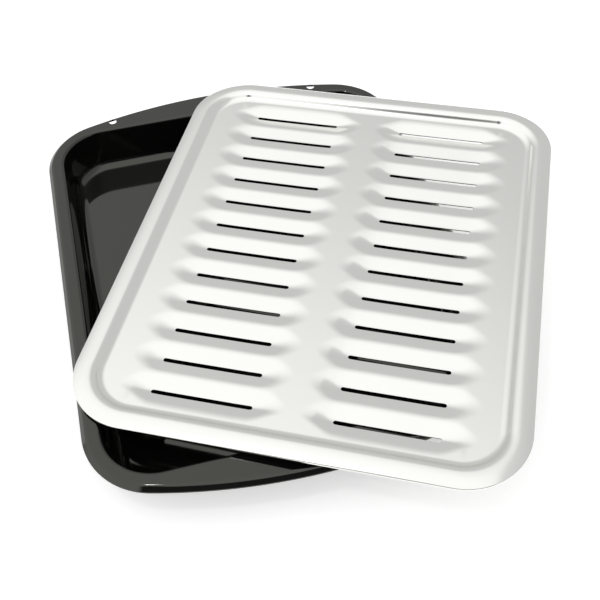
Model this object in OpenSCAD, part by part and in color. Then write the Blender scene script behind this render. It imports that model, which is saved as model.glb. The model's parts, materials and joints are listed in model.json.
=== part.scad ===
// Two-piece broiler pan: a drawn, enamelled tub with a flange that bulges at both ends,
// and a pressed, plated grill with two columns of slotted valleys lying askew on the flange.
// Millimetres. The origin is the middle of the tub's underside, the long axis is Y and up is Z.

/* [Pan] */
// Overall length over the bulged ends
pan_length = 423.8; // [416:0.1:432]
// Overall width over the straight sides
pan_width = 323.8; // [320:0.1:330]
// Overall height, from the tub's underside to the flange's top
pan_height = 40; // [32:0.1:50]
// Thickness of the enamelled sheet
pan_sheet = 1.2; // [0.9:0.05:1.6]
// Radius of the bulged end's outline
end_radius = 452.5; // [410:0.5:520]
// Radius of the outline's corners
rim_corner_radius = 55.6; // [50:0.1:60]
// Length of the opening, between the ends' inner edges
opening_length = 371.2; // [364:0.1:378]
// Width of the opening, between the sides' inner edges
opening_width = 300.4; // [296:0.1:304]
// Radius of the opening's corners
opening_corner_radius = 41.2; // [34:0.1:48]
// Radius of the fold from the flange into the wall
mouth_fold = 3; // [2:0.1:4]
// Angle of the wall from upright
wall_draft = 7; // [3:0.1:11]
// Radius of the fold from the wall into the floor
floor_fold = 9.5; // [6:0.1:13]

/* [Flange edge] */
// Radius of the soft turn at the flange's outer edge
edge_fold = 9; // [7:0.1:11]
// Angle from level that the edge has turned down to
edge_slope = 32; // [26:0.5:36]
// Straight length of the edge beyond that turn
edge_run = 1.5; // [0.8:0.1:2]

/* [Hanging holes] */
// Diameter of each hole
hang_hole_diameter = 7.4; // [6:0.1:8]
// Distance between the two holes
hang_hole_spacing = 194.7; // [180:0.1:200]
// Distance of the holes' line from the pan's middle
hang_hole_offset = 194; // [193.5:0.1:194.5]

/* [Grill] */
// Length of the grill
grill_length = 393; // [386:0.1:400]
// Width of the grill
grill_width = 332; // [326:0.1:338]
// Radius of the grill's outer corners
grill_corner_radius = 50; // [44:0.1:56]
// Thickness of the plated sheet
grill_sheet = 0.9; // [0.7:0.05:1.2]
// Distance of the raised ridge from the outer edge
ridge_inset = 12; // [10:0.1:13]
// Height of the ridge over the flat field
ridge_rise = 6.3; // [5.4:0.1:7.4]
// Radius of the two folds of the ridge's inner slope
ridge_fold = 5; // [3.5:0.1:5.5]
// Angle of the ridge's inner slope
ridge_slope = 46; // [42:0.5:52]
// Angle that the outer band has reached where it turns down
band_slope = 16; // [10:0.5:20]
// Radius of the turn at the outer edge
lip_fold = 1.8; // [1.4:0.1:2.4]
// Straight height of the lip under that turn
lip_drop = 1.6; // [0.8:0.1:2.2]

/* [Slotted valleys] */
// Distance between rows
row_pitch = 28.58; // [27.6:0.01:29.2]
// Distance between the two columns
column_spacing = 135; // [130:0.1:136]
// Depth of a valley under the field
valley_depth = 4.6; // [3.6:0.1:5.2]
// Distance over which a valley's side rises to the field
valley_reach = 19; // [17.5:0.1:20]
// Distance over which a valley's end rises to the field
valley_tip = 20.5; // [17:0.1:22]
// Length of a slot over its round ends
slot_length = 76.4; // [72:0.1:78]
// Width of a slot
slot_width = 3.1; // [2.4:0.1:3.6]

/* [Lay of the grill] */
// Turn of the grill from the pan's long axis
grill_turn = -27.6; // [-28.5:0.1:-26.5]
// Shift of the grill across the pan
grill_shift_x = 58.5; // [57:0.1:60]
// Shift of the grill along the pan
grill_shift_y = -24.5; // [-26:0.1:-23]
// Gap left under the grill where it bears on the flange
seat_gap = 0.3; // [0.2:0.05:0.5]

/* [Hidden] */
rows = 12;

half_length = pan_length / 2;
half_width = pan_width / 2;
rim_corner_x = half_width - rim_corner_radius;
end_centre_y = half_length - end_radius;
rim_corner_y = end_centre_y + sqrt(pow(end_radius - rim_corner_radius, 2) - pow(rim_corner_x, 2));
tangent_angle = atan2(rim_corner_y - end_centre_y, rim_corner_x);
mouth_x = opening_width / 2 - opening_corner_radius;
mouth_y = opening_length / 2 - opening_corner_radius;

wall_lean = 90 - wall_draft;
inner_depth = pan_height - pan_sheet;
wall_rise = inner_depth - (mouth_fold + floor_fold) * (1 - cos(wall_lean));
wall_run = wall_rise / tan(wall_lean);
mouth_top = opening_corner_radius;
mouth_end = mouth_top - mouth_fold * sin(wall_lean);
floor_start = mouth_end - wall_run;
floor_edge = floor_start - floor_fold * sin(wall_lean);

ridge_straight = (ridge_rise - 2 * ridge_fold * (1 - cos(ridge_slope))) / sin(ridge_slope);
ridge_run = 2 * ridge_fold * sin(ridge_slope) + ridge_straight * cos(ridge_slope);
ridge_at = grill_corner_radius - ridge_inset;
field_edge = ridge_at - ridge_run;
band_radius = (ridge_inset - lip_fold) / sin(band_slope) + lip_fold;
lip_x = grill_corner_radius - lip_fold;
lip_z = ridge_rise - band_radius + (band_radius - lip_fold) * cos(band_slope);
grill_centre_x = grill_width / 2 - grill_corner_radius;
grill_centre_y = grill_length / 2 - grill_corner_radius;

half_slot = slot_length / 2;
crest_share = 1 - row_pitch / (2 * valley_reach);
first_row = (rows - 1) / 2 * row_pitch;

// How far a sheet runs on into its neighbour, how far such a joint keeps from a fold, and how far
// a cutter runs past what it cuts
lap = 3;
fold_margin = 1;
past_cut = 0.2;

// Largest turn between neighbouring points of a fold, the shares that the outline's arcs are cut into, and
// the facets of the revolved corners, a hanging hole and a slot's round ends
fold_step = 8;
corner_steps = 12;
end_steps = 8;
corner_facets = 120;
hole_facets = 48;
slot_facets = 32;

// A place on the grill, taken to the pan's frame
function laid(p) = [grill_shift_x, grill_shift_y]
    + [p[0] * cos(grill_turn) - p[1] * sin(grill_turn), p[0] * sin(grill_turn) + p[1] * cos(grill_turn)];

// The grill bears on the flange at three places: on the right at the inner end of its farthest slot,
// near the pan's near end along the edge of its last slot, and at the far end on its field's round corner
slot_end = laid([column_spacing / 2 - half_slot, first_row]);
bear_right = [slot_end[0], slot_end[1], valley_depth + grill_sheet + seat_gap];
last_slot_edge = -first_row - slot_width / 2;
near_crossing = (-opening_length / 2 - grill_shift_y - last_slot_edge * cos(grill_turn)) / sin(grill_turn);
slot_under = valley_depth * (1 - slot_width / (2 * valley_reach)) + grill_sheet;
bear_near = [laid([near_crossing, last_slot_edge])[0], -opening_length / 2, slot_under + seat_gap];
field_corner = laid([-grill_centre_x, grill_centre_y]);
far_reach = opening_length / 2 - field_corner[1];
far_crossing = field_corner[0] - sqrt(max(0, pow(field_edge, 2) - pow(far_reach, 2)));
bear_far = [far_crossing, opening_length / 2, grill_sheet + seat_gap];
seat_cross = cross(bear_far - bear_right, bear_near - bear_right);
seat_normal = seat_cross / norm(seat_cross) * sign(seat_cross[2]);
seat_height = bear_right[2] - (seat_normal[0] * (grill_shift_x - bear_right[0])
    + seat_normal[1] * (grill_shift_y - bear_right[1])) / seat_normal[2];

// Points along an arc, starting at its given step
function arc(centre, radius, from, to, skip = 0) =
    let (steps = max(3, ceil(abs(to - from) / fold_step)))
    [for (k = [skip : steps]) let (a = from + (to - from) * k / steps) centre + radius * [cos(a), sin(a)]];

// Sweeps a section round a rounded rectangle that has its corner centres at the given distances
module round_sweep(cx, cy) {
    for (side = [0 : 3])
        let (along = side % 2 == 0 ? cy : cx, out = side % 2 == 0 ? cx : cy) {
            rotate([0, 0, side * 90])
                translate([out, along, 0])
                    rotate([90, 0, 0])
                        linear_extrude(height = 2 * along)
                            children();
            rotate([0, 0, side * 90])
                translate([out, along, 0])
                    rotate_extrude(angle = 90, $fn = corner_facets)
                        children();
        }
}

// The tub's section: flange, fold, leaning wall, fold and floor
module tub_section() {
    mouth = [mouth_top, pan_height - mouth_fold];
    heel = [floor_edge, pan_sheet + floor_fold];
    polygon(concat(
        [[mouth_top + lap, pan_height]],
        arc(mouth, mouth_fold, 90, 90 + wall_lean),
        arc(heel, floor_fold, 270 + wall_lean, 270),
        [[0, pan_sheet], [0, 0]],
        arc(heel, floor_fold + pan_sheet, 270, 270 + wall_lean),
        arc(mouth, mouth_fold - pan_sheet, 90 + wall_lean, 90),
        [[mouth_top + lap, pan_height - pan_sheet]]));
}

// The flange's outline, taken in by an inset: a quarter is a corner's arc and half of a bulged end
function rim_quarter(inset) = concat(
    [for (k = [0 : corner_steps]) let (a = tangent_angle * k / corner_steps)
        [rim_corner_x, rim_corner_y] + (rim_corner_radius - inset) * [cos(a), sin(a)]],
    [for (k = [1 : end_steps]) let (a = tangent_angle + (90 - tangent_angle) * k / end_steps)
        [0, end_centre_y] + (end_radius - inset) * [cos(a), sin(a)]]);
function flip(points, sx, sy) = [for (p = points) [sx * p[0], sy * p[1]]];
function backward(points) = [for (k = [len(points) - 2 : -1 : 0]) points[k]];
function rim_outline(inset) = let (quarter = rim_quarter(inset))
    concat(quarter, backward(flip(quarter, -1, 1)), flip(quarter, -1, -1), backward(flip(quarter, 1, -1)));

// The edge's section as pairs of inset and height: from the flange's top out round the soft turn, down the
// upright cut and back in under it
edge_reach = edge_fold * sin(edge_slope) + edge_run * cos(edge_slope);
edge_fall = edge_fold * (1 - cos(edge_slope)) + edge_run * sin(edge_slope);
edge_bend = [edge_reach, pan_height - edge_fold];
edge_section = concat(
    [[edge_reach + lap, pan_height]],
    arc(edge_bend, edge_fold, 90, 90 + edge_slope),
    [[0, pan_height - edge_fall], [0, pan_height - edge_fall - pan_sheet / cos(edge_slope)]],
    arc(edge_bend, edge_fold - pan_sheet, 90 + edge_slope, 90),
    [[edge_reach + lap, pan_height - pan_sheet]]);

// The section carried round the outline
module soft_edge() {
    rings = len(edge_section);
    around = len(rim_outline(0));
    points = [for (s = edge_section, p = rim_outline(s[0])) [p[0], p[1], s[1]]];
    faces = [for (i = [0 : rings - 1], k = [0 : around - 1])
        let (j = (i + 1) % rings, m = (k + 1) % around)
        [i * around + k, i * around + m, j * around + m, j * around + k]];
    polyhedron(points = points, faces = faces, convexity = 6);
}

module flange_plate() {
    translate([0, 0, pan_height - pan_sheet])
        linear_extrude(height = pan_sheet)
            difference() {
                polygon(rim_outline(edge_reach + fold_margin));
                square([2 * mouth_x, opening_length + 2 * fold_margin], center = true);
                square([opening_width + 2 * fold_margin, 2 * mouth_y], center = true);
                for (sx = [-1, 1], sy = [-1, 1])
                    translate([sx * mouth_x, sy * mouth_y])
                        circle(r = opening_corner_radius + fold_margin, $fn = corner_facets);
            }
}

module pan() {
    color([0.06, 0.06, 0.06])
        difference() {
            union() {
                round_sweep(mouth_x, mouth_y)
                    tub_section();
                linear_extrude(height = pan_sheet)
                    square([2 * (mouth_x + lap), 2 * (mouth_y + lap)], center = true);
                flange_plate();
                soft_edge();
            }
            for (sx = [-1, 1])
                translate([sx * hang_hole_spacing / 2, hang_hole_offset, pan_height - 2 * pan_sheet])
                    cylinder(r = hang_hole_diameter / 2, h = 2 * pan_sheet + past_cut, $fn = hole_facets);
        }
}

// The grill's rim section: field, slope, ridge, outer band and lip
module grill_section() {
    foot = [field_edge, ridge_fold];
    head = [ridge_at, ridge_rise - ridge_fold];
    band = [ridge_at, ridge_rise - band_radius];
    lip = [lip_x, lip_z];
    polygon(concat(
        [[0, 0]],
        arc(foot, ridge_fold, 270, 270 + ridge_slope),
        arc(head, ridge_fold, 90 + ridge_slope, 90),
        arc(band, band_radius, 90, 90 - band_slope, 1),
        arc(lip, lip_fold, 90 - band_slope, 0, 1),
        [[grill_corner_radius, lip_z - lip_drop], [grill_corner_radius - grill_sheet, lip_z - lip_drop]],
        arc(lip, lip_fold - grill_sheet, 0, 90 - band_slope),
        arc(band, band_radius - grill_sheet, 90 - band_slope, 90, 1),
        arc(head, ridge_fold - grill_sheet, 90, 90 + ridge_slope, 1),
        arc(foot, ridge_fold + grill_sheet, 270 + ridge_slope, 270),
        [[0, -grill_sheet]]));
}

// A column's lines across it: the field's far edge, then rows and crests in turn, then its near edge
last_line = 2 * rows;
function is_edge(i) = i == 0 || i == last_line;
function line_y(i) = i == 0 ? grill_centre_y + field_edge
    : i == last_line ? -grill_centre_y - field_edge
    : first_row - (i - 1) / 2 * row_pitch;
function line_out(i) = is_edge(i) ? half_slot
    : i % 2 == 1 ? half_slot + valley_tip
    : half_slot + valley_tip * crest_share;
function line_z(i) = i % 2 == 1 ? -valley_depth : -valley_depth * crest_share;
function line_points(i, top, cap) = let (y = line_y(i), x = line_out(i), z = top + line_z(i))
    is_edge(i)
    ? [[-x, y, cap], [-x, y, top], [x, y, top], [x, y, cap]]
    : [[-x, y, cap], [-x, y, top], [-half_slot, y, z], [half_slot, y, z], [x, y, top], [x, y, cap]];
function at(i, k) = is_edge(i)
    ? (i == 0 ? 0 : 4 + (last_line - 1) * 6) + [0, 1, 1, 2, 2, 3][k]
    : 4 + (i - 1) * 6 + k;
function panel(i, j, k, m) = i == 0 && (k == 1 || k == 3) ? [at(i, k), at(j, k), at(j, m)]
    : j == last_line && (k == 1 || k == 3) ? [at(j, m), at(i, m), at(i, k)]
    : [at(j, k), at(j, m), at(i, m), at(i, k)];

// All valleys of one column as a block: their floor, with walls up to a flat cap
module valley_block(top, cap) {
    points = [for (i = [0 : last_line]) each line_points(i, top, cap)];
    panels = [for (i = [0 : last_line - 1], k = [0 : 5]) panel(i, i + 1, k, (k + 1) % 6)];
    ends = [[at(0, 0), at(0, 1), at(0, 4), at(0, 5)],
        [at(last_line, 5), at(last_line, 4), at(last_line, 1), at(last_line, 0)]];
    polyhedron(points = points, faces = concat(panels, ends), convexity = 6);
}

module slot() {
    translate([0, 0, -valley_depth - grill_sheet - past_cut])
        linear_extrude(height = valley_depth + grill_sheet + 2 * past_cut) {
            square([slot_length - slot_width, slot_width], center = true);
            for (side = [-1, 1])
                translate([side * (slot_length - slot_width) / 2, 0])
                    circle(r = slot_width / 2, $fn = slot_facets);
        }
}

module grill_sheet_shape() {
    difference() {
        union() {
            round_sweep(grill_centre_x, grill_centre_y)
                grill_section();
            translate([0, 0, -grill_sheet])
                linear_extrude(height = grill_sheet)
                    square([2 * (grill_centre_x + lap), 2 * (grill_centre_y + lap)], center = true);
            for (side = [-1, 1])
                translate([side * column_spacing / 2, 0, 0])
                    valley_block(-grill_sheet, -grill_sheet / 2);
        }
        for (side = [-1, 1])
            translate([side * column_spacing / 2, 0, 0])
                valley_block(0, past_cut);
        for (side = [-1, 1], row = [0 : rows - 1])
            translate([side * column_spacing / 2, first_row - row * row_pitch, 0])
                slot();
    }
}

module grill() {
    color([0.82, 0.83, 0.83])
        translate([grill_shift_x, grill_shift_y, pan_height + seat_height])
            rotate(a = acos(seat_normal[2]), v = [-seat_normal[1], seat_normal[0], 0])
                rotate([0, 0, grill_turn])
                    grill_sheet_shape();
}

pan();
grill();
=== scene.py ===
# A two-piece broiler set: a black enamelled drip pan, and a bright slotted grill that lies askew on
# the pan's flange. The meshes are worked out in millimetres and kept in metres.

import json
import math

import bpy
import numpy as np
from mathutils import Matrix, Vector
from mathutils.geometry import delaunay_2d_cdt


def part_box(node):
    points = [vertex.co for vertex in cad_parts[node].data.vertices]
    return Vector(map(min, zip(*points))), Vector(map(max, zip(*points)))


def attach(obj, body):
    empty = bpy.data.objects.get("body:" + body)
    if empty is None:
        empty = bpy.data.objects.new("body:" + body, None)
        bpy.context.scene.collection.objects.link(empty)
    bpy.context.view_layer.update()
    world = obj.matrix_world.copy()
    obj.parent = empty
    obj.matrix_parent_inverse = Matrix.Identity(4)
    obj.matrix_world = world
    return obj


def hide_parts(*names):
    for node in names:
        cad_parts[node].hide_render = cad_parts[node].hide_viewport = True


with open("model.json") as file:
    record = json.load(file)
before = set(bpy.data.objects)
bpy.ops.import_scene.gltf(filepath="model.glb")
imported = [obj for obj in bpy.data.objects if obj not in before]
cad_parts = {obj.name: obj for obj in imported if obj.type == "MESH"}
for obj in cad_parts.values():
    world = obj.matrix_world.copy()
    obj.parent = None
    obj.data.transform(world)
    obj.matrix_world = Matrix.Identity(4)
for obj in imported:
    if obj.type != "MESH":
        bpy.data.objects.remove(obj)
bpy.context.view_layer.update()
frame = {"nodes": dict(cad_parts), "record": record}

MM = 0.001

# The pan, in millimetres; its overall sizes come from the solid that it stands for
PAN_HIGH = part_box("pan")[1] / MM
HALF_WIDTH = PAN_HIGH.x
HALF_LENGTH = PAN_HIGH.y
PAN_HEIGHT = PAN_HIGH.z
PAN_SHEET = 1.2
END_RADIUS = 452.5
RIM_CORNER_RADIUS = 55.6
OPENING_LENGTH = 371.2
OPENING_WIDTH = 300.4
OPENING_CORNER_RADIUS = 41.2
MOUTH_FOLD = 3.0
WALL_DRAFT = 7.0
FLOOR_FOLD = 9.5
EDGE_FOLD = 3.5
EDGE_SLOPE = 43.0
EDGE_REACH = 5.3
LIP_TURN = 1.3
LIP_LENGTH = 0.4
# How far inside the pan's outline the flange's own mesh ends, beyond the hanging holes
FLANGE_EDGE = 2.4

# The grill, in millimetres
GRILL_LENGTH = 392.98
GRILL_WIDTH = 331.98
GRILL_CORNER_RADIUS = 50.0
GRILL_SHEET = 0.9
# How much lower than the solid's top the grill's ridge lies, to stay within it at the tilted corner
RIDGE_CLEAR = 0.05
RIDGE_INSET = 11.2
RIDGE_RISE = 6.3
RIDGE_FOLD = 7.0
RIDGE_SLOPE = 52.0
BAND_SLOPE = 23.0
LIP_FOLD = 1.0
LIP_DROP = 1.0
ROWS = 12
ROW_PITCH = 28.58
COLUMN_SPACING = 135.0
VALLEY_DEPTH = 4.6
VALLEY_REACH = 19.0
VALLEY_TIP = 22.5
SLOT_LENGTH = 76.4
SLOT_WIDTH = 3.6
SLOT_SHIFT = -1.0

# How softly the press rounds its creases, in millimetres
CREST_SOFT = 3.0
VALLEY_SOFT = 2.2
TIP_SOFT = 7.0
TIP_SPREAD = 0.35
WIDEST_SOFT = 7.0
BORDER_SOFT = 1.3

# Spacing of the mesh lines over the pressed valleys and along a slot's middle, and the least
# distance between a line that has to be there and its neighbours, over the field and at a crest
GRID_STEP = 1.45
SLOT_STEP = 12.0
LINE_GAP = 0.5
CREST_GAP = 0.6

# Stretches that each arc is divided into
PAN_CORNER_STEPS = 24
TUB_FOLD_STEPS = 14
MOUTH_FOLD_STEPS = 10
EDGE_FOLD_STEPS = 4
EDGE_LIP_STEPS = 6
HOLE_STEPS = 48
GRILL_CORNER_STEPS = 20
RIDGE_FOLD_STEPS = 8
BAND_STEPS = 6
LIP_STEPS = 8
SLOT_END_STEPS = 4
CREST_STEPS = 4

# Points nearer than SAME_POINT are one point; a point within ON_LINE of a line lies on it
SAME_POINT = 1e-4
ON_LINE = 1e-3
LINE_DECIMALS = 5

# What a flat region is filled with, triangles inside its outlines, and how exactly they meet them
FILL_INSIDE = 1
FILL_CLOSE = 1e-7

# The signs of a flat outline's quarters, anticlockwise from the far right one
QUARTERS = ((1, 1), (-1, 1), (-1, -1), (1, -1))


def arc(centre, radius, start, stop, steps, hollow=False):
    """Rows of place and outward normal (x, z, nx, nz) along an arc; a hollow one faces its centre."""
    angles = np.radians(np.linspace(start, stop, steps + 1))
    way = np.c_[np.cos(angles), np.sin(angles)]
    return np.c_[np.array(centre) + radius * way, -way if hollow else way]


def joined(*stretches):
    """Profile stretches one after another, without the points that they share."""
    rows = [np.atleast_2d(stretches[0])]
    for stretch in stretches[1:]:
        stretch = np.atleast_2d(stretch)
        meets = np.allclose(rows[-1][-1, :2], stretch[0, :2], atol=SAME_POINT)
        rows.append(stretch[1:] if meets else stretch)
    return np.vstack(rows)


class Sheet:
    """A pressed sheet: its upper face as patches of points with normals, made into a closed solid."""

    def __init__(self):
        self.points = []
        self.normals = []
        self.faces = []
        self.count = 0

    def add(self, points, normals, faces):
        self.points.append(np.asarray(points, float))
        self.normals.append(np.asarray(normals, float))
        self.faces += [[self.count + i for i in face] for face in faces]
        self.count += len(points)

    def add_grid(self, points, normals, closed=False, keep=None):
        """Points as rows x columns x 3, with quads between neighbours; keep(face) may cut or drop one."""
        rows, columns = points.shape[:2]
        faces = []
        for i in range(rows - 1):
            for j in range(columns if closed else columns - 1):
                k = (j + 1) % columns
                face = [i * columns + j, i * columns + k, (i + 1) * columns + k, (i + 1) * columns + j]
                face = face if keep is None else keep(face)
                if face:
                    faces.append(face)
        self.add(points.reshape(-1, 3), normals.reshape(-1, 3), faces)

    def add_flat(self, loops, inside, shape):
        """Fills the region between closed loops of (x, y), where inside(x, y) holds; shape(x, y) lifts it."""
        points = np.vstack(loops)
        edges = []
        start = 0
        for loop in loops:
            edges += [(start + k, start + (k + 1) % len(loop)) for k in range(len(loop))]
            start += len(loop)
        corners = [Vector(p) for p in points]
        flat, _, triangles, sources, *_ = delaunay_2d_cdt(corners, edges, [], FILL_INSIDE, FILL_CLOSE)
        flat = np.array([points[source[0]] if source else tuple(p) for p, source in zip(flat, sources)])
        triangles = np.array(triangles)
        middle = flat[triangles].mean(axis=1)
        triangles = triangles[inside(middle[:, 0], middle[:, 1])]
        a, b, c = (flat[triangles[:, k]] for k in range(3))
        turn = (b[:, 0] - a[:, 0]) * (c[:, 1] - a[:, 1]) - (b[:, 1] - a[:, 1]) * (c[:, 0] - a[:, 0])
        triangles[turn < 0] = triangles[turn < 0][:, ::-1]
        height, normals = shape(flat[:, 0], flat[:, 1])
        self.add(np.c_[flat, height], normals, triangles.tolist())

    def joined_up(self):
        """The patches as one surface: points and unit normals without repeats, and the faces between them."""
        points = np.vstack(self.points)
        normals = np.vstack(self.normals)
        keys = np.round(points / SAME_POINT)
        _, first, where = np.unique(keys, axis=0, return_index=True, return_inverse=True)
        where = where.ravel()
        points = points[first]
        normals = normals[first]
        normals /= np.linalg.norm(normals, axis=1)[:, None]
        upper = []
        for face in self.faces:
            face = [int(where[i]) for i in face]
            face = [v for k, v in enumerate(face) if v != face[k - 1]]
            if len(face) > 2:
                upper.append(face)
        return points, normals, upper

    def solid(self, name, thickness, place=Matrix.Identity(4)):
        """The closed solid of this sheet, in metres, at a place given in millimetres."""
        points, normals, upper = self.joined_up()
        edges = dict.fromkeys((face[k - 1], v) for face in upper for k, v in enumerate(face))
        rim = [(a, b) for a, b in edges if (b, a) not in edges]
        total = len(points)
        lower = [[v + total for v in reversed(face)] for face in upper]
        walls = [[b, a, a + total, b + total] for a, b in rim]
        vertices = np.vstack([points, points - thickness * normals])
        sheet_normals = np.vstack([normals, -normals])
        skin = [v for face in upper + lower for v in face]
        edge = [v for face in walls for v in face]
        corner_normals = np.vstack([sheet_normals[skin], wall_normals(vertices, walls)[edge]])
        turn = np.array(place.to_3x3())
        vertices = (vertices @ turn.T + np.array(place.translation)) * MM
        mesh = bpy.data.meshes.new(name)
        mesh.from_pydata(vertices.tolist(), [], upper + lower + walls)
        mesh.polygons.foreach_set("use_smooth", [True] * len(mesh.polygons))
        # The wall faces along the cut edges are marked, so that the plating can paint them dark as painted
        # shade
        cut = mesh.attributes.new("cut", "FLOAT", "FACE")
        cut.data.foreach_set("value", [0.0] * (2 * len(upper)) + [1.0] * len(walls))
        mesh.normals_split_custom_set((corner_normals @ turn.T).tolist())
        mesh.update()
        piece = bpy.data.objects.new(name, mesh)
        bpy.context.scene.collection.objects.link(piece)
        return piece


def wall_normals(vertices, walls):
    """The normal at each vertex of the walls along a sheet's cut edges."""
    normals = np.zeros_like(vertices)
    for wall in walls:
        across = np.cross(vertices[wall[2]] - vertices[wall[0]], vertices[wall[3]] - vertices[wall[1]])
        normals[wall] += across / np.linalg.norm(across)
    size = np.linalg.norm(normals, axis=1)
    normals[size > 0] /= size[size > 0][:, None]
    return normals


def swept(ring, profile):
    """A profile of (outward reach, height, normal) rows carried round ring(reach), a flat outline."""
    points = []
    normals = []
    for reach, height, out, up in profile:
        places, ways = ring(reach)
        points.append(np.c_[places, np.full(len(places), height)])
        normals.append(np.c_[ways * out, np.full(len(places), up)])
    return np.array(points), np.array(normals)


def mirrored(rows, sx, sy):
    """Rows of (x, y) from the far right quarter taken to another one, still anticlockwise."""
    rows = rows * [sx, sy]
    return rows if sx * sy > 0 else rows[::-1]


def no_repeats(loop):
    """Which points of a closed loop aren't the same as the one before."""
    return np.linalg.norm(loop - np.roll(loop, 1, axis=0), axis=1) > SAME_POINT


def turned(quarter_places, quarter_ways):
    """A quarter outline from +X to +Y, mirrored into a whole one, anticlockwise."""
    places = np.vstack([mirrored(quarter_places, sx, sy) for sx, sy in QUARTERS])
    ways = np.vstack([mirrored(quarter_ways, sx, sy) for sx, sy in QUARTERS])
    new = no_repeats(places)
    return places[new], ways[new]


def level(height):
    """The shape of a flat face at a height."""
    return lambda x, y: (np.full(len(x), height), np.tile([0.0, 0.0, 1.0], (len(x), 1)))


def everywhere(x, y):
    """Takes every place as inside."""
    return np.full(len(x), True)


def directions(start, stop, steps):
    """Unit vectors from one angle to another, in degrees."""
    angles = np.radians(np.linspace(start, stop, steps + 1))
    return np.c_[np.cos(angles), np.sin(angles)]


# The drip pan

MOUTH_X = OPENING_WIDTH / 2 - OPENING_CORNER_RADIUS
MOUTH_Y = OPENING_LENGTH / 2 - OPENING_CORNER_RADIUS
RIM_CORNER_X = HALF_WIDTH - RIM_CORNER_RADIUS
END_CENTRE_Y = HALF_LENGTH - END_RADIUS
RIM_CORNER_Y = END_CENTRE_Y + math.sqrt((END_RADIUS - RIM_CORNER_RADIUS) ** 2 - RIM_CORNER_X**2)
END_TURN = math.degrees(math.atan2(RIM_CORNER_Y - END_CENTRE_Y, RIM_CORNER_X))


def mouth_ring(reach):
    """The tub's rounded rectangle, at a reach from its corners' centres."""
    ways = directions(0, 90, PAN_CORNER_STEPS)
    return turned(np.array([MOUTH_X, MOUTH_Y]) + reach * ways, ways)


def rim_ring(reach):
    """The flange's outline with its bulged ends, moved out by a reach."""
    corner = directions(0, END_TURN, PAN_CORNER_STEPS)
    end = directions(END_TURN, 90, PAN_CORNER_STEPS)[1:]
    places = np.vstack([
        np.array([RIM_CORNER_X, RIM_CORNER_Y]) + (RIM_CORNER_RADIUS + reach) * corner,
        np.array([0, END_CENTRE_Y]) + (END_RADIUS + reach) * end,
    ])
    return turned(places, np.vstack([corner, end]))


def rim_inset(x, y):
    """How far places lie inside the flange's outline, and the way out of it."""
    ax = np.abs(x)
    ay = np.abs(y)
    corner = np.stack([ax - RIM_CORNER_X, ay - RIM_CORNER_Y], axis=-1)
    end = np.stack([ax, ay - END_CENTRE_Y], axis=-1)
    side = np.tile([1.0, 0.0], (len(ax), 1))
    in_corner = corner[:, 1] < math.tan(math.radians(END_TURN)) * corner[:, 0]
    on_side = ay < RIM_CORNER_Y
    spoke = np.where(in_corner[:, None], corner, end)
    length = np.linalg.norm(spoke, axis=1)
    inset = np.where(in_corner, RIM_CORNER_RADIUS, END_RADIUS) - length
    inset = np.where(on_side & in_corner, HALF_WIDTH - ax, inset)
    way = np.where((on_side & in_corner)[:, None], side, spoke / length[:, None])
    return inset, way * np.stack([np.sign(x), np.sign(y)], axis=-1)


def in_rounded(x, y, half_x, half_y, radius):
    """Which places lie inside a rounded rectangle."""
    dx = np.maximum(np.abs(x) - half_x + radius, 0)
    dy = np.maximum(np.abs(y) - half_y + radius, 0)
    return np.hypot(dx, dy) < radius


def hanging_holes():
    """Centre and radius of each hole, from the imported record's bores."""
    mounts = [m for m in frame["record"]["mounts"] if m["kind"] == "bore"]
    return [(m["pos_m"][0] / MM, m["pos_m"][1] / MM, m["dims"]["r_mm"]) for m in mounts]


def tub_profile():
    """The fold between floor and wall, the leaning wall, and the fold into the flange."""
    lean = 90 - WALL_DRAFT
    rise = PAN_HEIGHT - PAN_SHEET - (MOUTH_FOLD + FLOOR_FOLD) * (1 - math.cos(math.radians(lean)))
    run = rise / math.tan(math.radians(lean))
    wall_top = OPENING_CORNER_RADIUS - MOUTH_FOLD * math.sin(math.radians(lean))
    heel = wall_top - run - FLOOR_FOLD * math.sin(math.radians(lean))
    return joined(
        arc((heel, PAN_SHEET + FLOOR_FOLD), FLOOR_FOLD, 270, 270 + lean, TUB_FOLD_STEPS, hollow=True),
        arc((OPENING_CORNER_RADIUS, PAN_HEIGHT - MOUTH_FOLD), MOUTH_FOLD, 90 + lean, 90, MOUTH_FOLD_STEPS),
    )


def edge_fall(inset):
    """How far the flange has turned down at an inset from its outline, and how steeply it lies there."""
    slope = math.radians(EDGE_SLOPE)
    past = EDGE_REACH - inset
    lean = np.arcsin(np.clip(past / EDGE_FOLD, 0, math.sin(slope)))
    straight = np.maximum(past - EDGE_FOLD * math.sin(slope), 0)
    return EDGE_FOLD * (1 - np.cos(lean)) + straight * math.tan(slope), lean


def edge_profile():
    """The end of the flange's slope, and the small lip that ends it."""
    slope = math.radians(EDGE_SLOPE)
    lip_start = LIP_TURN * (1 - math.sin(slope))
    height = PAN_HEIGHT - edge_fall(FLANGE_EDGE)[0]
    lip_z = PAN_HEIGHT - edge_fall(lip_start)[0] - LIP_TURN * math.cos(slope)
    return joined(
        (-FLANGE_EDGE, height, math.sin(slope), math.cos(slope)),
        arc((-LIP_TURN, lip_z), LIP_TURN, 90 - EDGE_SLOPE, 0, EDGE_LIP_STEPS),
        (0, lip_z - LIP_LENGTH, 1, 0),
    )


def flange_shape(x, y):
    """Height and normals of the flange: flat, then folded down towards its edge."""
    inset, way = rim_inset(x, y)
    fall, lean = edge_fall(inset)
    return PAN_HEIGHT - fall, np.c_[way * np.sin(lean)[:, None], np.cos(lean)]


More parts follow.
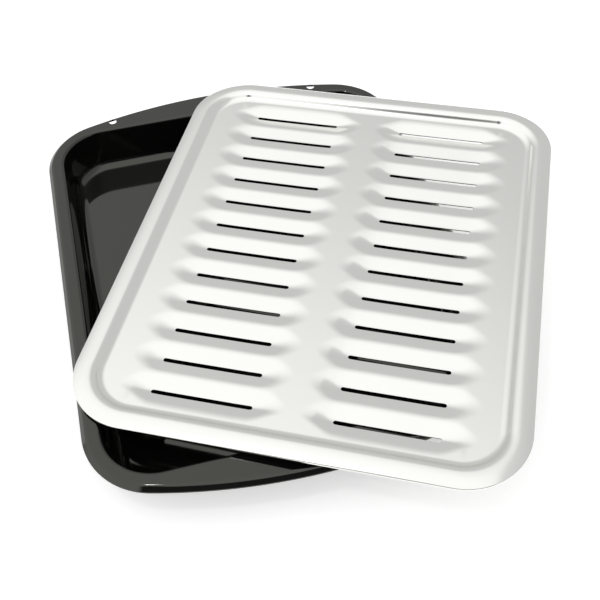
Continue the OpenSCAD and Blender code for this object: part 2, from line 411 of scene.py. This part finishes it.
def make_pan():
    sheet = Sheet()
    tub = tub_profile()
    points, normals = swept(mouth_ring, tub[::-1])
    sheet.add_grid(points, normals, closed=True)
    sheet.add_flat([mouth_ring(tub[0, 0])[0]], everywhere, level(PAN_SHEET))
    points, normals = swept(rim_ring, edge_profile()[::-1])
    sheet.add_grid(points, normals, closed=True)
    holes = hanging_holes()
    circle = directions(0, 360, HOLE_STEPS)[:-1]
    folds = EDGE_FOLD * np.sin(np.radians(np.linspace(0, EDGE_SLOPE, EDGE_FOLD_STEPS + 1)))
    loops = [rim_ring(reach)[0] for reach in [*(folds - EDGE_REACH), -FLANGE_EDGE]]
    loops += [mouth_ring(OPENING_CORNER_RADIUS)[0]]
    loops += [np.array([x, y]) + radius * circle for x, y, radius in holes]

    def on_flange(x, y):
        free = ~in_rounded(x, y, OPENING_WIDTH / 2, OPENING_LENGTH / 2, OPENING_CORNER_RADIUS)
        for hx, hy, radius in holes:
            free &= np.hypot(x - hx, y - hy) > radius * math.cos(math.pi / HOLE_STEPS)
        return free

    sheet.add_flat(loops, on_flange, flange_shape)
    pan = sheet.solid("drip_pan", PAN_SHEET)
    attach(pan, "root")
    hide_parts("pan")
    return pan


# The grill

CENTRE_X = GRILL_WIDTH / 2 - GRILL_CORNER_RADIUS
CENTRE_Y = GRILL_LENGTH / 2 - GRILL_CORNER_RADIUS
HALF_SLOT = SLOT_LENGTH / 2
FIRST_ROW = (ROWS - 1) / 2 * ROW_PITCH
SLOPE = math.radians(RIDGE_SLOPE)
RIDGE_STRAIGHT = (RIDGE_RISE - 2 * RIDGE_FOLD * (1 - math.cos(SLOPE))) / math.sin(SLOPE)
RIDGE_AT = GRILL_CORNER_RADIUS - RIDGE_INSET
FIELD_EDGE = RIDGE_AT - 2 * RIDGE_FOLD * math.sin(SLOPE) - RIDGE_STRAIGHT * math.cos(SLOPE)
BAND_RADIUS = (RIDGE_INSET - LIP_FOLD) / math.sin(math.radians(BAND_SLOPE)) + LIP_FOLD
LIP_X = GRILL_CORNER_RADIUS - LIP_FOLD
LIP_Z = RIDGE_RISE - BAND_RADIUS + (BAND_RADIUS - LIP_FOLD) * math.cos(math.radians(BAND_SLOPE))
GRILL_CORNER = directions(0, 90, GRILL_CORNER_STEPS)
# How far the field's grid keeps from its round corners
CORNER_CLEAR = 1.0
# What the last valley's reach is scaled by, to fade out at the field's edge
END_SCALE = VALLEY_REACH * (1 + BORDER_SOFT / VALLEY_DEPTH) / (CENTRE_Y + FIELD_EDGE - FIRST_ROW)


def soft_corner(value, width):
    """The larger of value and 0, with the corner between them rounded over the width."""
    return np.where(value > width, value, np.where(value < -width, 0, (value + width) ** 2 / (4 * width)))


def soft_size(value, width):
    """The size of value, with its corner at 0 rounded over the width."""
    size = np.abs(value)
    return np.where(size < width, (value**2 / width + width) / 2, size)


def from_row(y):
    """How far places lie beyond their nearest row, towards the far side."""
    row = np.clip(np.round((FIRST_ROW - y) / ROW_PITCH), 0, ROWS - 1)
    return y - (FIRST_ROW - row * ROW_PITCH)


def valley(x, y):
    """Height of the pressed valleys over the grill's flat field."""
    along = soft_corner(np.abs(np.abs(x) - COLUMN_SPACING / 2) - HALF_SLOT, TIP_SOFT)
    across = from_row(y)
    past_end = np.abs(y) > FIRST_ROW
    from_crest = ROW_PITCH / 2 - np.abs(across)
    between = ROW_PITCH / 2 - soft_size(from_crest, CREST_SOFT)
    bottom = np.minimum(VALLEY_SOFT + TIP_SPREAD * along, WIDEST_SOFT)
    across = np.where(np.abs(across) < ROW_PITCH / 4, soft_size(across, bottom), between)
    outside = soft_size((np.abs(y) - FIRST_ROW) * END_SCALE, bottom)
    across = np.where(past_end, outside, across)
    depth = 1 - across / VALLEY_REACH - along / VALLEY_TIP
    return -soft_corner(VALLEY_DEPTH * depth, BORDER_SOFT)


def valley_normals(x, y):
    """Upward directions square to the valleys' surface, from its height a short step to each side."""
    step = 0.01
    slope_x = (valley(x + step, y) - valley(x - step, y)) / (2 * step)
    slope_y = (valley(x, y + step) - valley(x, y - step)) / (2 * step)
    return np.stack([-slope_x, -slope_y, np.ones_like(slope_x)], axis=-1)


def field_shape(x, y):
    return valley(x, y), valley_normals(x, y)


def spaced(start, stop, step):
    """Even steps, each near the given size."""
    return np.linspace(start, stop, max(1, round(abs(stop - start) / step)) + 1)


def merged(exact, others, gap):
    """Sorted lines: every exact one, and the others that keep a gap from them."""
    exact = np.unique(np.round(exact, LINE_DECIMALS))
    near = np.abs(np.asarray(others)[:, None] - exact[None, :]).min(axis=1)
    return np.unique(np.r_[exact, np.round(np.asarray(others)[near > gap], LINE_DECIMALS)])


def grill_lines():
    """Lines across the pressed field, by x and by y, that pass through the slots' outlines."""
    bend = np.radians(np.linspace(0, 90, SLOT_END_STEPS + 1))
    ends = HALF_SLOT - SLOT_WIDTH / 2 * (1 - np.cos(bend))
    half = COLUMN_SPACING / 2
    tip = HALF_SLOT + VALLEY_TIP
    column = np.r_[-ends, ends, 0]
    slots_x = np.r_[half + column, -half + column]
    tips = np.r_[spaced(HALF_SLOT, tip + TIP_SOFT, GRID_STEP), spaced(-HALF_SLOT, HALF_SLOT, SLOT_STEP)]
    others = np.r_[half + tips, half - tips, -half + tips, -half - tips, 0]
    exact = np.r_[slots_x, -CENTRE_X, CENTRE_X]
    lines_x = merged(exact, others[np.abs(others) <= half + tip + TIP_SOFT], LINE_GAP)
    rows = FIRST_ROW - np.arange(ROWS) * ROW_PITCH
    sides = SLOT_WIDTH / 2 * np.sin(bend)
    slots_y = (rows[:, None] + SLOT_SHIFT + np.r_[-sides, sides][None, :]).ravel()
    limit = CENTRE_Y + FIELD_EDGE
    crest = CREST_SOFT * np.linspace(-1, 1, CREST_STEPS + 1)
    crests = (rows[:-1, None] - ROW_PITCH / 2 + crest[None, :]).ravel()
    others = spaced(-limit, limit, GRID_STEP)
    others = np.r_[crests, others[np.abs(others[:, None] - crests[None, :]).min(axis=1) > CREST_GAP]]
    lines_y = merged(np.r_[slots_y, -limit, limit], others, LINE_GAP)
    return lines_x, lines_y


def add_field(sheet, lines_x, lines_y, step_y):
    """The field with its valleys, as a grid of the lines with the slots cut out along them."""
    x, y = np.meshgrid(lines_x, lines_y)
    points = np.stack([x, y, valley(x, y)], axis=-1)
    along = np.abs(np.abs(x) - COLUMN_SPACING / 2)
    across = from_row(y) - SLOT_SHIFT
    from_slot = np.hypot(np.maximum(along - HALF_SLOT + SLOT_WIDTH / 2, 0), across) - SLOT_WIDTH / 2
    on_slot = (from_slot < ON_LINE).ravel()
    outside = ((np.abs(y) > step_y + ON_LINE) & (np.abs(x) > CENTRE_X + ON_LINE)).ravel()

    def keep(face):
        """Drops a face in a slot or past the field's corner, and halves one on a slot's round end."""
        cut = [on_slot[i] for i in face]
        if all(cut) or any(outside[i] for i in face):
            return None
        if sum(cut) == 3:
            k = cut.index(False)
            return [face[k - 1], face[k], face[(k + 1) % 4]]
        return face

    sheet.add_grid(points, valley_normals(x, y), keep=keep)


def grill_ring(reach, run):
    """The grill's rounded rectangle at a reach from its corners' centres, with the field's lines in run."""
    places = []
    ways = []
    for sx, sy in QUARTERS:
        way = mirrored(GRILL_CORNER, sx, sy)
        places.append(np.array([sx * CENTRE_X, sy * CENTRE_Y]) + reach * way)
        ways.append(way)
        if sx * sy > 0:
            side = np.c_[run[::-sx], np.full(len(run), sy * (CENTRE_Y + reach))]
            places.append(side)
            ways.append(np.tile([0, sy], (len(side), 1)))
    return np.vstack(places), np.vstack(ways)


def rim_profile():
    """The slope up from the field, the ridge, the outer band and the lip."""
    return joined(
        arc((FIELD_EDGE, RIDGE_FOLD), RIDGE_FOLD, 270, 270 + RIDGE_SLOPE, RIDGE_FOLD_STEPS, hollow=True),
        arc((RIDGE_AT, RIDGE_RISE - RIDGE_FOLD), RIDGE_FOLD, 90 + RIDGE_SLOPE, 90, RIDGE_FOLD_STEPS),
        arc((RIDGE_AT, RIDGE_RISE - BAND_RADIUS), BAND_RADIUS, 90, 90 - BAND_SLOPE, BAND_STEPS),
        arc((LIP_X, LIP_Z), LIP_FOLD, 90 - BAND_SLOPE, 0, LIP_STEPS),
        (GRILL_CORNER_RADIUS, LIP_Z - LIP_DROP, 1, 0),
    )


def side_loop(lines_x, lines_y, step_y, side):
    """The outline of the piece between the grid's stepped side and the field's round corners there."""
    arcs = []
    for sy in (-side, side):
        way = mirrored(GRILL_CORNER, side, sy)
        arcs.append(np.array([side * CENTRE_X, sy * CENTRE_Y]) + FIELD_EDGE * way)
    top = lines_y[lines_y > step_y - ON_LINE][::-1]
    step_x = lines_x[lines_x > CENTRE_X - ON_LINE]
    side_y = lines_y[np.abs(lines_y) <= step_y + ON_LINE]
    back = np.vstack([
        np.c_[np.full(len(top), CENTRE_X), top],
        np.c_[step_x, np.full(len(step_x), step_y)],
        np.c_[np.full(len(side_y), lines_x.max()), side_y[::-1]],
        np.c_[step_x[::-1], np.full(len(step_x), -step_y)],
        np.c_[np.full(len(top), CENTRE_X), -top[::-1]],
    ])
    loop = np.vstack([*arcs, back * [side, side]])
    return loop[no_repeats(loop)]


def make_grill():
    sheet = Sheet()
    lines_x, lines_y = grill_lines()
    corner_y = CENTRE_Y + math.sqrt(FIELD_EDGE**2 - (lines_x.max() - CENTRE_X) ** 2)
    step_y = lines_y[lines_y < corner_y - CORNER_CLEAR].max()
    add_field(sheet, lines_x, lines_y, step_y)
    run = lines_x[np.abs(lines_x) <= CENTRE_X + ON_LINE][1:-1]
    points, normals = swept(lambda reach: grill_ring(reach, run), rim_profile())
    sheet.add_grid(points[::-1], normals[::-1], closed=True)
    for side in (1, -1):
        sheet.add_flat([side_loop(lines_x, lines_y, step_y, side)], everywhere, field_shape)
    grill = sheet.solid("slotted_grill", GRILL_SHEET, grill_place())
    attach(grill, "root")
    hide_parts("grill")
    return grill


def grill_place():
    """Where the solid grill lies: its own axes, from how its surface spreads, and its field's middle."""
    node = frame["nodes"]["grill"].data
    node.calc_loop_triangles()
    corners = np.array([[node.vertices[i].co[:] for i in t.vertices] for t in node.loop_triangles]) / MM
    areas = np.linalg.norm(np.cross(corners[:, 1] - corners[:, 0], corners[:, 2] - corners[:, 0]), axis=1) / 2
    samples = np.vstack([(corners[:, 0] + corners[:, 1]) / 2, (corners[:, 1] + corners[:, 2]) / 2,
                         (corners[:, 2] + corners[:, 0]) / 2])
    weights = np.tile(areas / 3, 3)
    middle = (samples * weights[:, None]).sum(axis=0) / weights.sum()
    spread = samples - middle
    _, axes = np.linalg.eigh((spread * weights[:, None]).T @ spread)
    up = axes[:, 0] * np.sign(axes[2, 0])
    far = axes[:, 2] * np.sign(axes[1, 2])
    right = np.cross(far, up)
    top = ((corners.reshape(-1, 3) - middle) @ up).max()
    middle = middle + up * (top - RIDGE_RISE - RIDGE_CLEAR)
    return Matrix([*zip(right, far, up, middle), (0, 0, 0, 1)])


# Finishes

ENAMEL_BLACK = (0.004, 0.004, 0.004, 1)
ENAMEL_SHEEN = (1.0, 1.0, 0.92, 1)
ENAMEL_IOR = 1.70
PLATING_BRIGHT = (0.875, 0.88, 0.85, 1)
# Painted shade for the slots' cut walls: the plated walls only look dark where they mirror the black pan
# below, so this dark colour stands in for that shade
CUT_EDGE_PAINTED_SHADE = (0.08, 0.075, 0.07, 1)

# How rough each finish is where it is glossiest, and what its clouds and the cut edges add
ENAMEL_ROUGH = 0.05
FLOW_ROUGH = 0.04
PLATING_ROUGH = 0.13
CLOUD_ROUGH = 0.04
CUT_ROUGH = 0.3

# Heights of the slow waves and of the fine grain in each finish, in metres
MELT_WAVES = 0.00006
MELT_PEEL = 0.0000006
PRESS_WAVES = 0.00003
ROLLED_GRAIN = 0.0000005

# Each noise: its scale per metre and its detail; and from where to where two of them fade
WAVES_NOISE = (26.0, 2.0)
PEEL_NOISE = (420.0, 1.0)
FLOW_NOISE = (14.0, 3.0)
CLOUD_NOISE = (18.0, 3.0)
GRAIN_NOISE = (1500.0, 2.0)
FLOW_FADE = (0.35, 0.75)
CLOUD_FADE = (0.3, 0.7)


class Wire:
    """A shader socket that takes part in Python arithmetic; each operation adds a Math node."""

    def __init__(self, finish, socket):
        self.finish = finish
        self.socket = socket

    def math(self, operation, *values):
        return self.finish.node("ShaderNodeMath", {"operation": operation}, dict(enumerate(values)))

    def __add__(self, other):
        return self.math("ADD", self, other)

    def __sub__(self, other):
        return self.math("SUBTRACT", self, other)

    def __rsub__(self, other):
        return self.math("SUBTRACT", other, self)

    def __mul__(self, other):
        return self.math("MULTIPLY", self, other)

    __radd__ = __add__
    __rmul__ = __mul__

    def between(self, low, high):
        """This value taken from low..high to a smooth 0..1."""
        span = {"Value": self, "From Min": low, "From Max": high}
        return self.finish.node("ShaderNodeMapRange", {"interpolation_type": "SMOOTHSTEP"}, span)


class Finish:
    """A node tree under work, with one method that adds any node."""

    def __init__(self, owner):
        owner.use_nodes = True
        self.tree = owner.node_tree
        self.tree.nodes.clear()

    def node(self, kind, settings=None, values=None, output=0):
        """A node with its settings, then with a wire or a value of its own at each socket."""
        node = self.tree.nodes.new(kind)
        for name, setting in (settings or {}).items():
            setattr(node, name, setting)
        for name, value in (values or {}).items():
            if isinstance(value, Wire):
                self.tree.links.new(value.socket, node.inputs[name])
            else:
                node.inputs[name].default_value = value
        return Wire(self, node.outputs[output]) if node.outputs else node

    def mix(self, factor, low, high):
        """A colour between two; a Mix node has its colour sockets at these numbers."""
        return self.node("ShaderNodeMix", {"data_type": "RGBA"}, {0: factor, 6: low, 7: high}, output=2)

    def noise(self, place, scale, detail):
        """Soft noise of a scale per metre."""
        return self.node("ShaderNodeTexNoise", {}, {"Vector": place, "Scale": scale, "Detail": detail})

    def bump(self, height):
        """Normals over a height in metres."""
        return self.node("ShaderNodeBump", {}, {"Strength": 1.0, "Distance": 1.0, "Height": height})


def new_finish(name):
    material = bpy.data.materials.new(name)
    return material, Finish(material)


def enamel():
    """Black glass fused on steel: a hard gloss over slow waves left by the melt."""
    material, finish = new_finish("black_enamel")
    place = finish.node("ShaderNodeTexCoord", output="Object")
    waves = finish.noise(place, *WAVES_NOISE)
    peel = finish.noise(place, *PEEL_NOISE)
    flow = finish.noise(place, *FLOW_NOISE)
    surface = finish.node("ShaderNodeBsdfPrincipled", {}, {
        "Base Color": ENAMEL_BLACK,
        "Roughness": ENAMEL_ROUGH + flow.between(*FLOW_FADE) * FLOW_ROUGH,
        "IOR": ENAMEL_IOR,
        "Specular Tint": ENAMEL_SHEEN,
        "Normal": finish.bump(waves * MELT_WAVES + peel * MELT_PEEL),
    })
    finish.node("ShaderNodeOutputMaterial", {}, {"Surface": surface})
    return material


def plating():
    """Bright nickel and chrome over pressed steel: a satin gloss with a faint rolled grain, and painted shade
    on the slots' cut walls.
    """
    material, finish = new_finish("bright_plating")
    place = finish.node("ShaderNodeTexCoord", output="Object")
    cloud = finish.noise(place, *CLOUD_NOISE)
    grain = finish.noise(place, *GRAIN_NOISE)
    cut = finish.node("ShaderNodeAttribute", {"attribute_name": "cut"}, output="Fac")
    surface = finish.node("ShaderNodeBsdfPrincipled", {}, {
        # Painted shade: the marked cut walls get a dark base colour in place of the dark pan that they mirror
        "Base Color": finish.mix(cut, PLATING_BRIGHT, CUT_EDGE_PAINTED_SHADE),
        "Metallic": 1.0,
        "Roughness": PLATING_ROUGH + cloud.between(*CLOUD_FADE) * CLOUD_ROUGH + cut * CUT_ROUGH,
        "Normal": finish.bump(cloud * PRESS_WAVES + grain * ROLLED_GRAIN),
    })
    finish.node("ShaderNodeOutputMaterial", {}, {"Surface": surface})
    return material


# The studio

# The floor's colour and glow, and its half width and its level in metres
FLOOR_WHITE = (0.80, 0.80, 0.80, 1)
FLOOR_GLOW = 0.48
FLOOR_HALF = 3.0
FLOOR_LOW = -0.0002

# The studio's light by direction: all round, what the brighter part overhead adds, what is missing
# at the horizon, and the shares that are missing on the right of the overhead part and in front
ROUND_LIGHT = 0.627
OVERHEAD_LIGHT = 0.49
HORIZON_DIM = 0.15
RIGHT_DIM = 0.7
FRONT_DIM = 0.94

# How the overhead part leans to the left and to the front, how the dark front's far side leans to
# the right, and from where to where each part fades, by the direction or its lean
OVERHEAD_LEFT = 0.67
OVERHEAD_FRONT = 0.26
OVERHEAD_FADE = (0.06, 0.97)
RIGHT_FADE = (0.33, 0.43)
HORIZON_FADE = (0.16, -0.02)
FRONT_LEAN = 0.8
FRONT_LEAN_FADE = (0.18, 0.30)
FRONT_Y_FADE = (-0.18, -0.38)
FRONT_X_FADE = (0.45, 0.32)
# The front is light again where it stands this high, and to the right of this
FRONT_TOP_FADE = (0.53, 0.61)
FRONT_TOP_LEFT_FADE = (-0.37, -0.31)

# The softbox: its places and sizes in metres, and its power in watts
LAMP_AT = (-0.42, -0.31, 1.28)
LAMP_AIM = (-0.05, -0.1, 0.04)
LAMP_SIZE = (0.05, 0.12)
LAMP_POWER = 1.2

# The camera: its places in metres, its roll in degrees, and its lens and sensor in millimetres
CAMERA_AT = Vector((-0.0843, -0.4725, 0.5593))
CAMERA_AIM = Vector((0.0177, -0.0646, 0.040))
CAMERA_ROLL = -1.209
CAMERA_LENS = 51.06
SENSOR = 36.0


def make_floor():
    """A pale floor that keeps the set's shadow, and that the camera and the gloss see as white."""
    corners = [(sx * FLOOR_HALF, sy * FLOOR_HALF, FLOOR_LOW) for sx, sy in QUARTERS]
    mesh = bpy.data.meshes.new("floor")
    mesh.from_pydata(corners, [], [(0, 1, 2, 3)])
    floor = bpy.data.objects.new("floor", mesh)
    bpy.context.scene.collection.objects.link(floor)
    material, finish = new_finish("pale_floor")
    rays = ("Is Camera Ray", "Is Glossy Ray", "Is Transmission Ray")
    seen = [finish.node("ShaderNodeLightPath", output=ray) for ray in rays]
    shade = finish.node("ShaderNodeBsdfDiffuse", {}, {"Color": FLOOR_WHITE})
    shown = (seen[0] + seen[1] + seen[2]) * FLOOR_GLOW
    glow = finish.node("ShaderNodeEmission", {}, {"Color": (1, 1, 1, 1), "Strength": shown})
    both = finish.node("ShaderNodeAddShader", {}, {0: shade, 1: glow})
    finish.node("ShaderNodeOutputMaterial", {}, {"Surface": both})
    mesh.materials.append(material)


def make_surroundings():
    """A pale studio, brighter overhead and to the left, with a dark front."""
    world = bpy.data.worlds.new("studio")
    bpy.context.scene.world = world
    finish = Finish(world)
    way = finish.node("ShaderNodeTexCoord", output="Generated")
    x, y, z = (finish.node("ShaderNodeSeparateXYZ", {}, {"Vector": way}, output=axis) for axis in "XYZ")
    overhead = (z - x * OVERHEAD_LEFT - y * OVERHEAD_FRONT).between(*OVERHEAD_FADE)
    overhead = overhead * (1.0 - x.between(*RIGHT_FADE) * RIGHT_DIM)
    light = ROUND_LIGHT - z.between(*HORIZON_FADE) * HORIZON_DIM + overhead * OVERHEAD_LIGHT
    front = (x * FRONT_LEAN - y).between(*FRONT_LEAN_FADE)
    front = front * y.between(*FRONT_Y_FADE) * x.between(*FRONT_X_FADE)
    front = front * (1.0 - z.between(*FRONT_TOP_FADE) * x.between(*FRONT_TOP_LEFT_FADE))
    light = light * (1.0 - front * FRONT_DIM)
    studio = finish.node("ShaderNodeBackground", {}, {"Color": (1, 1, 1, 1), "Strength": light})
    finish.node("ShaderNodeOutputWorld", {}, {"Surface": studio})


def make_lamp():
    """A small softbox over the near left corner, for the highlight on the pan's folded edge."""
    lamp = bpy.data.lights.new("softbox", "AREA")
    lamp.shape = "RECTANGLE"
    lamp.size, lamp.size_y = LAMP_SIZE
    lamp.energy = LAMP_POWER
    holder = bpy.data.objects.new("softbox", lamp)
    holder.location = LAMP_AT
    holder.rotation_euler = (Vector(LAMP_AIM) - Vector(LAMP_AT)).to_track_quat("-Z", "Y").to_euler()
    bpy.context.scene.collection.objects.link(holder)


def make_camera():
    lens = bpy.data.cameras.new("camera")
    lens.lens = CAMERA_LENS
    lens.sensor_width = SENSOR
    lens.sensor_fit = "HORIZONTAL"
    camera = bpy.data.objects.new("camera", lens)
    look = (CAMERA_AIM - CAMERA_AT).to_track_quat("-Z", "Y").to_matrix().to_4x4()
    roll = Matrix.Rotation(math.radians(CAMERA_ROLL), 4, "Z")
    camera.matrix_world = Matrix.Translation(CAMERA_AT) @ look @ roll
    bpy.context.scene.collection.objects.link(camera)
    bpy.context.scene.camera = camera


make_camera()
make_floor()
make_surroundings()
make_lamp()

pan = make_pan()
pan.data.materials.append(enamel())
grill = make_grill()
grill.data.materials.append(plating())

bpy.context.scene.view_settings.view_transform = "Standard"
